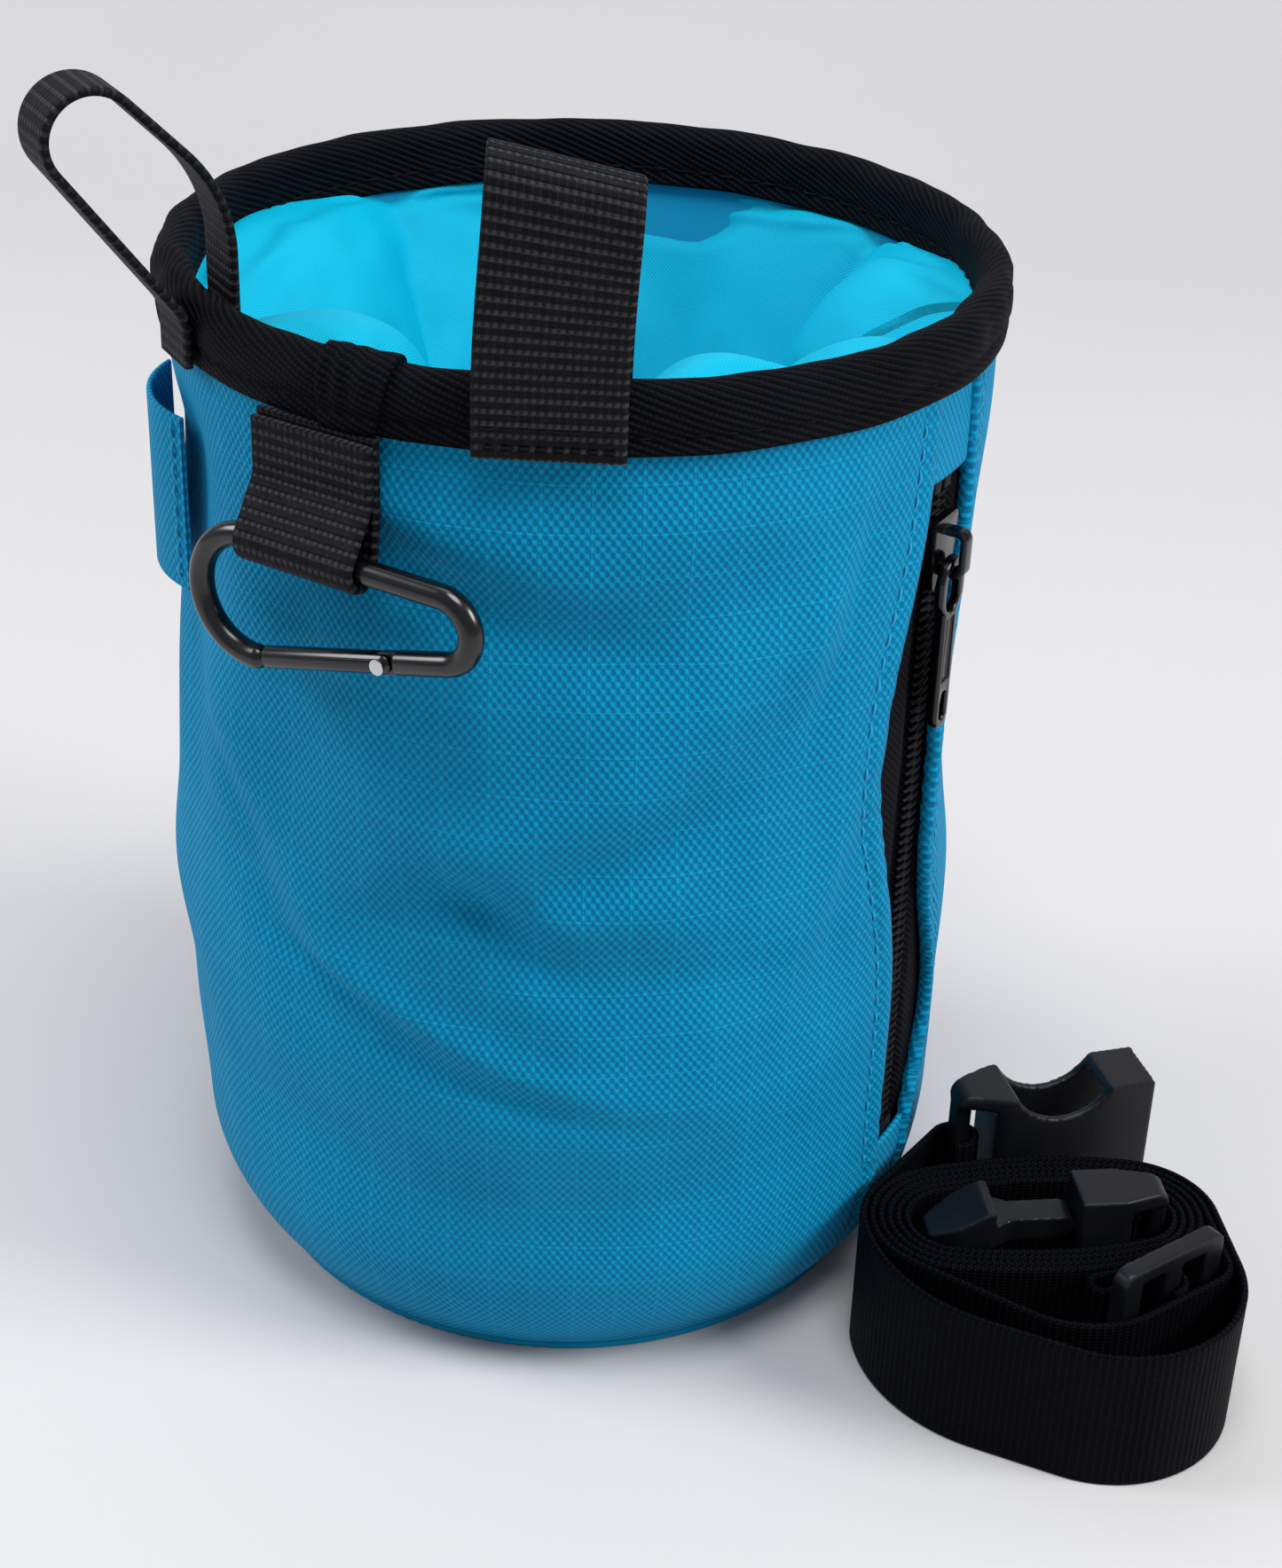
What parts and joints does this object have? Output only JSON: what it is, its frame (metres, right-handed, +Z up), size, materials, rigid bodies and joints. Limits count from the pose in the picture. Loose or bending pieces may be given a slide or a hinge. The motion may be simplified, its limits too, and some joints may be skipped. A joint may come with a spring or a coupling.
{
  "type": "climbing chalk bag",
  "caption": "Drum-shaped climbing chalk bag with a stiff bound rim, closing sleeve, zipped side pocket, webbing loops and a small carabiner, with its rolled waist belt and buckle beside it",
  "frame": {"origin": "centre of the base on the ground", "axes": "+Z up, the front belt loop towards -Y, the zip to the right of it, the side loop to the left"},
  "size_m": [0.1794, 0.1366, 0.1965],
  "materials": {
    "shell_cloth": "woven polyester",
    "zip_tape": "woven tape",
    "zip_teeth": "moulded coil",
    "zip_metal": "gloss enamel",
    "lining_cloth": "fleece",
    "hoop_plastic": "extruded rod",
    "edge_binding": "twill tape",
    "collar_cloth": "thin plain weave",
    "webbing": "ribbed webbing",
    "carabiner_metal": "anodised",
    "rivet_steel": "bare",
    "belt_webbing": "ribbed webbing",
    "buckle_plastic": "fine texture"
  },
  "bodies": {
    "bag": {"base_panel": "shell_cloth", "front_panel": "shell_cloth", "side_panel": "shell_cloth", "zip_cap_panel": "shell_cloth", "zip_foot_panel": "shell_cloth", "zip_tape_left": "zip_tape", "zip_tape_right": "zip_tape", "zip_coil_left": "zip_teeth", "zip_coil_right": "zip_teeth", "zip_top_stops": "zip_teeth", "zip_bottom_stop": "zip_teeth", "pocket_lining": "lining_cloth", "rim_hoop": "hoop_plastic", "rim_binding": "edge_binding", "binding_overlap": "edge_binding", "liner": "lining_cloth", "closure_collar": "collar_cloth", "front_loop": "webbing", "side_loop": "webbing", "brush_sleeve": "shell_cloth"},
    "hang_loop": {"carabiner_loop": "webbing"},
    "carabiner": {"carabiner_body": "carabiner_metal", "gate_rivet": "rivet_steel"},
    "gate": {"carabiner_gate": "carabiner_metal"},
    "slider": {"zip_slider": "zip_metal"},
    "pull": {"zip_pull": "zip_metal"},
    "belt": {"belt_webbing": "belt_webbing", "belt_tail": "belt_webbing", "buckle_male": "buckle_plastic", "buckle_female": "buckle_plastic", "tri_glide": "buckle_plastic"},
    "arm_upper": {"buckle_arm_upper": "buckle_plastic"},
    "arm_lower": {"buckle_arm_lower": "buckle_plastic"}
  },
  "joints": [
    {"name": "hang_loop_swing", "type": "hinge", "parent": "bag", "child": "hang_loop", "pos_m": [-0.0313, -0.05421, 0.1555], "axis": [-0.866, 0.5, 0], "range_deg": [0, 60]},
    {"name": "carabiner_swing", "type": "hinge", "parent": "hang_loop", "child": "carabiner", "pos_m": [-0.0327, -0.05664, 0.1395], "axis": [-0.866, 0.5, 0], "range_deg": [0, 90]},
    {"name": "gate_hinge", "type": "hinge", "parent": "carabiner", "child": "gate", "pos_m": [-0.02118, -0.06329, 0.12726], "axis": [0.5, 0.866, 0], "range_deg": [0, 22], "stiffness_Nm_per_rad": 0.05, "springref_deg": -0.86},
    {"name": "zip_slide", "type": "slide", "parent": "bag", "child": "slider", "axis": [0, 0, -1], "range_m": [0, 0.094]},
    {"name": "pull_hinge", "type": "hinge", "parent": "slider", "child": "pull", "pos_m": [0.05506, -0.02806, 0.13], "axis": [-0.454, -0.891, 0], "range_deg": [0, 135]},
    {"name": "belt_lift", "type": "slide", "parent": "bag", "child": "belt", "axis": [0, 0, 1], "range_m": [0, 0.06]},
    {"name": "arm_upper_squeeze", "type": "hinge", "parent": "belt", "child": "arm_upper", "pos_m": [0.0804, -0.04205, 0.0245], "axis": [0.1564, -0.9877, 0], "range_deg": [0, 8], "stiffness_Nm_per_rad": 1.5},
    {"name": "arm_lower_squeeze", "type": "hinge", "parent": "belt", "child": "arm_lower", "pos_m": [0.0804, -0.04205, 0.006], "axis": [-0.1564, 0.9877, 0], "range_deg": [0, 8], "stiffness_Nm_per_rad": 1.5}
  ]
}
